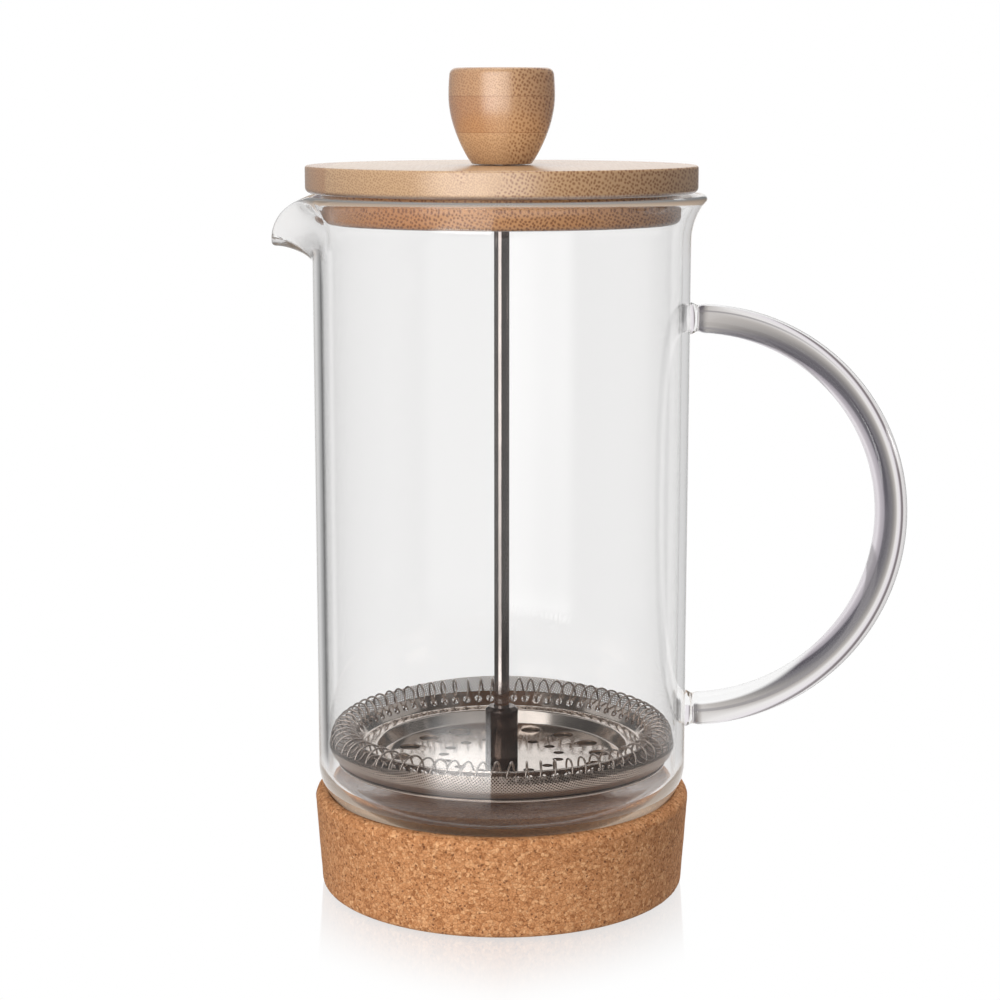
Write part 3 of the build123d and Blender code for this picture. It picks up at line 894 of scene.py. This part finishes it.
# Tones of the surround by degrees from the backdrop's middle towards the handle: as seen
# through the solid handle and rim, straight through the beaker, and mirrored in its walls.
FLAGS = (
    (-60, (0.78, 0.76, 0.76)), (-14, (0.82, 0.80, 0.80)), (-8, (0.22, 0.19, 0.20)),
    (-2, (0.24, 0.21, 0.22)), (3, (0.84, 0.80, 0.84)), (11, (0.86, 0.84, 0.83)),
    (15, (0.50, 0.47, 0.45)), (21, (0.27, 0.255, 0.25)), (26, (0.16, 0.15, 0.165)),
    (33, (0.10, 0.093, 0.11)), (38, (0.12, 0.11, 0.13)), (42, (0.40, 0.37, 0.41)),
    (50, (0.55, 0.51, 0.55)), (57, (0.80, 0.76, 0.80)),
)
THROUGH = (
    (-60, 0.95), (-48, 0.93), (-38, 0.88), (-32, 0.90), (-26, 0.95), (-18, 0.98), (18, 0.98),
    (26, 0.97), (31, 0.94), (36, 0.86), (42, 0.87), (50, 0.93), (60, 0.95),
)
BACKDROP = (
    (-60, 0.45), (-54, 0.15), (-42, 0.15), (-36, 0.36), (-33, 0.54), (-30, 0.78), (-26, 0.92),
    (-18, 0.98), (18, 0.98), (26, 0.95), (31, 0.92), (36, 0.86), (44, 0.84), (60, 0.88),
)


def ray_is(s, output, limit):
    """1 while the ray's depth of that kind is below the limit."""
    depth = s.node("ShaderNodeLightPath").outputs[output]
    return s.math("LESS_THAN", depth, limit - 0.5)


def make_world():
    """White seen directly. Diffuse light comes from the walls and ceiling, little from below."""
    s = Shader("studio", "World")
    x, _, z = s.axes(s.node("ShaderNodeTexCoord").outputs["Generated"])
    level = s.math("MULTIPLY", s.step(z, -0.08, 0.05, 0.12, 1.0), s.step(x, -0.6, 0.8, 0.44, 0.42))
    direct = s.math("MULTIPLY", ray_is(s, "Diffuse Depth", 1), ray_is(s, "Glossy Depth", 1))
    light = s.math("MAXIMUM", level, direct)
    white = {"Color": (1.0, 1.0, 1.0), "Strength": light}
    world = s.finish(s.node("ShaderNodeBackground", white).outputs[0])
    world.cycles.sampling_method = "NONE"
    bpy.context.scene.world = world


def make_surround():
    """The studio as glass and steel show it: a round wall that only their rays meet.

    It is white behind the press, where the backdrop hangs, with dark flags beside the
    backdrop, soft boxes in front, and a dim room elsewhere. What a ray sees depends on
    how often it has been mirrored and refracted."""
    low, high = -400.0, 1600.0
    ring = [(SURROUND_R, z) for z in np.linspace(low, high, 9)]
    wall = lathe("surround", [(0, low)] + ring + [(0, high)], segments=96)
    wall.visible_camera = False
    wall.visible_diffuse = False
    wall.visible_shadow = False
    wall.visible_volume_scatter = False

    s = Shader("surround")
    x, y, z = s.axes(s.place_mm())
    turn = s.math("DEGREES", s.math("ARCTAN2", x, y))
    limits = {"Value": turn, "From Min": -RAMP_SPAN, "From Max": RAMP_SPAN}
    span = s.node("ShaderNodeMapRange", limits).outputs[0]
    aside = s.math("ABSOLUTE", turn)
    ahead_x, ahead_y = s.math("MULTIPLY", x, -1.0), s.math("MULTIPLY", y, -1.0)
    to_left = s.math("DEGREES", s.math("ARCTAN2", ahead_x, ahead_y))

    def by_turn(stops):
        return s.ramp(span, [((at + RAMP_SPAN) / (2 * RAMP_SPAN), colour) for at, colour in stops])

    def greys(stops):
        return by_turn([(at, (tone, tone, tone)) for at, tone in stops])

    # Seen through glass: the solid handle and rim show flags with a low and a high bar.
    few_faces = ray_is(s, "Transmission Depth", 3)
    bars = s.either(s.band(z, -32.0, -22.0, 6.0, 16.0), s.band(z, 262.0, 285.0, 322.0, 345.0))
    bars = s.math("MULTIPLY", bars, s.step(turn, 7.0, 12.0, 0.0, 0.62))
    flags = s.mix(bars, by_turn(FLAGS), (0.25, 0.235, 0.25))
    through = s.mix(few_faces, greys(THROUGH), flags)

    # Mirrored by steel inside the beaker: the backdrop, a wide box in front that is brightest
    # low down, the dim room, and a grey band round its sides.
    backdrop = s.step(aside, 26.0, 20.0)
    wide_box = s.band(to_left, 3.0, 8.0, 44.0, 58.0)
    level = s.math("ADD", s.step(z, 0.0, 100.0, 0.95, 1.5), s.step(z, -10.0, -32.0))
    bright = s.math("MULTIPLY", wide_box, level)
    room = s.math("ADD", s.step(z, 500.0, 1400.0, 0.0, 0.4), s.step(x, -150.0, 60.0, 0.085, 0.06))
    upper = s.math("MULTIPLY", s.step(z, 150.0, 190.0), s.step(z, 500.0, 400.0, 0.0, 0.42))
    upper = s.math("MULTIPLY", upper, s.step(aside, 36.0, 48.0))
    on_steel = s.either(backdrop, bright, room, upper)

    # The box low on the left that puts a patch of glare on the glass.
    glare = s.math("MULTIPLY", s.step(z, -16.0, -44.0), s.step(z, -76.0, -62.0, 0.2, 1.0))
    glare = s.math("MULTIPLY", s.band(to_left, 5.8, 6.8, 32.0, 50.0), s.math("MULTIPLY", glare, 5.4))

    # Mirrored in the thickness of the glass.
    in_front = s.step(s.math("ABSOLUTE", to_left), 75.0, 50.0)
    around_press = s.mix(in_front, (0.75, 0.74, 0.74), (0.30, 0.29, 0.29))
    inner = s.mix(s.step(aside, 60.0, 50.0), around_press, greys(BACKDROP))
    in_glass = s.mix(1.0, inner, glare, "LIGHTEN")

    # Mirrored by outer faces: lacquer, cork and the outside of the glass.
    front_box = s.math("MULTIPLY", s.band(to_left, -28.0, -8.0, 38.0, 48.0), s.step(z, -5.0, 30.0))
    front_box = s.math("MULTIPLY", front_box, s.step(z, 700.0, 560.0, 0.0, 1.28))
    dim = s.step(x, -150.0, 40.0, 0.35, 0.15)
    on_face = s.either(backdrop, dim, front_box, glare)

    outside = ray_is(s, "Transmission Depth", 1)
    mirrored = s.mix(few_faces, on_steel, s.mix(outside, in_glass, on_face))

    bounced = s.math("SUBTRACT", 1.0, ray_is(s, "Glossy Depth", 1))
    shown = s.mix(bounced, through, mirrored)
    glow = s.node("ShaderNodeEmission", {"Color": shown}).outputs[0]
    open_air = s.node("ShaderNodeBsdfTransparent").outputs[0]
    undiffused = ray_is(s, "Diffuse Depth", 1)
    shining = {0: undiffused, 1: open_air, 2: glow}
    material = s.finish(s.node("ShaderNodeMixShader", shining).outputs[0])
    material.cycles.emission_sampling = "NONE"
    wall.data.materials.append(material)


def make_floor():
    """White glossy sheet that gives back a faint image of the cork near the object."""
    verts = [(x * 6000.0, y * 6000.0, 0.0) for x, y in ((-1, -1), (1, -1), (1, 1), (-1, 1))]
    floor = new_object("floor", verts, [(0, 1, 2, 3)])
    s = Shader("floor_white")
    x, y, _ = s.axes(s.place_mm())
    away = s.math("SQRT", s.math("ADD", s.math("MULTIPLY", x, x), s.math("MULTIPLY", y, y)))
    sideways = s.math("MULTIPLY", s.math("ABSOLUTE", x), 0.35)
    shine = s.step(s.math("ADD", away, sideways), 47.0, 98.0, 0.34, 0.0)
    scattered = s.math("SUBTRACT", 1.0, ray_is(s, "Diffuse Depth", 1))
    strength = s.math("SUBTRACT", 1.0, s.math("MULTIPLY", scattered, 0.68))
    white = s.node("ShaderNodeEmission", {"Color": (1.0, 1.0, 1.0), "Strength": strength}).outputs[0]
    gloss = s.node("ShaderNodeBsdfGlossy", {"Color": (1.0, 1.0, 1.0), "Roughness": 0.08}).outputs[0]
    seen = s.node("ShaderNodeMixShader", {0: shine, 1: white, 2: gloss}).outputs[0]
    through = s.node("ShaderNodeBsdfTransparent").outputs[0]
    near = s.step(away, 120.0, 150.0)
    table = s.node("ShaderNodeMixShader", {0: near, 1: white, 2: through}).outputs[0]
    unbroken = s.math("MULTIPLY", ray_is(s, "Diffuse Depth", 1), ray_is(s, "Glossy Depth", 1))
    unbroken = s.math("MULTIPLY", unbroken, ray_is(s, "Transmission Depth", 1))
    material = s.finish(s.node("ShaderNodeMixShader", {0: unbroken, 1: table, 2: seen}).outputs[0])
    material.cycles.emission_sampling = "NONE"
    floor.data.materials.append(material)


def make_lamp(name, at, target, size, power):
    """Rectangular soft box at a place in metres, turned to the target."""
    data = bpy.data.lights.new(name, "AREA")
    data.shape = "RECTANGLE"
    data.size, data.size_y = size
    data.energy = power
    lamp = link(bpy.data.objects.new(name, data))
    lamp.location = at
    lamp.rotation_euler = (Vector(target) - Vector(at)).to_track_quat("-Z", "Y").to_euler()
    lamp.visible_glossy = False
    lamp.visible_transmission = False
    return lamp


def make_camera():
    """Long lens a little above the object, looking along +Y. Its place is in metres."""
    data = bpy.data.cameras.new("camera")
    data.lens = 83.06
    data.shift_x = -0.0017
    camera = link(bpy.data.objects.new("camera", data))
    camera.location = (0.0, -0.612, 0.2129)
    camera.rotation_euler = (math.radians(90 - 9.93), 0.0, 0.0)
    bpy.context.scene.camera = camera


make_camera()
make_world()
make_surround()
make_floor()
make_lamp("key", (-0.34, -0.90, 0.16), (0, 0, 0.1), (0.5, 0.9), 14.0)
make_lamp("top", (-0.1, 0.1, 1.2), (0, 0, 0.1), (0.8, 0.8), 5.0)
make_lamp("back", (0.55, 0.70, 0.30), (0, 0, 0.1), (0.7, 0.8), 8.0)
make_glass()
make_lid()
make_knob()
make_rod()
make_spring_plate()
make_coil()
make_filter_mesh()
make_cross_plate()
make_cork()

view = bpy.context.scene.view_settings
view.view_transform = "Standard"

bpy.context.view_layer.update()
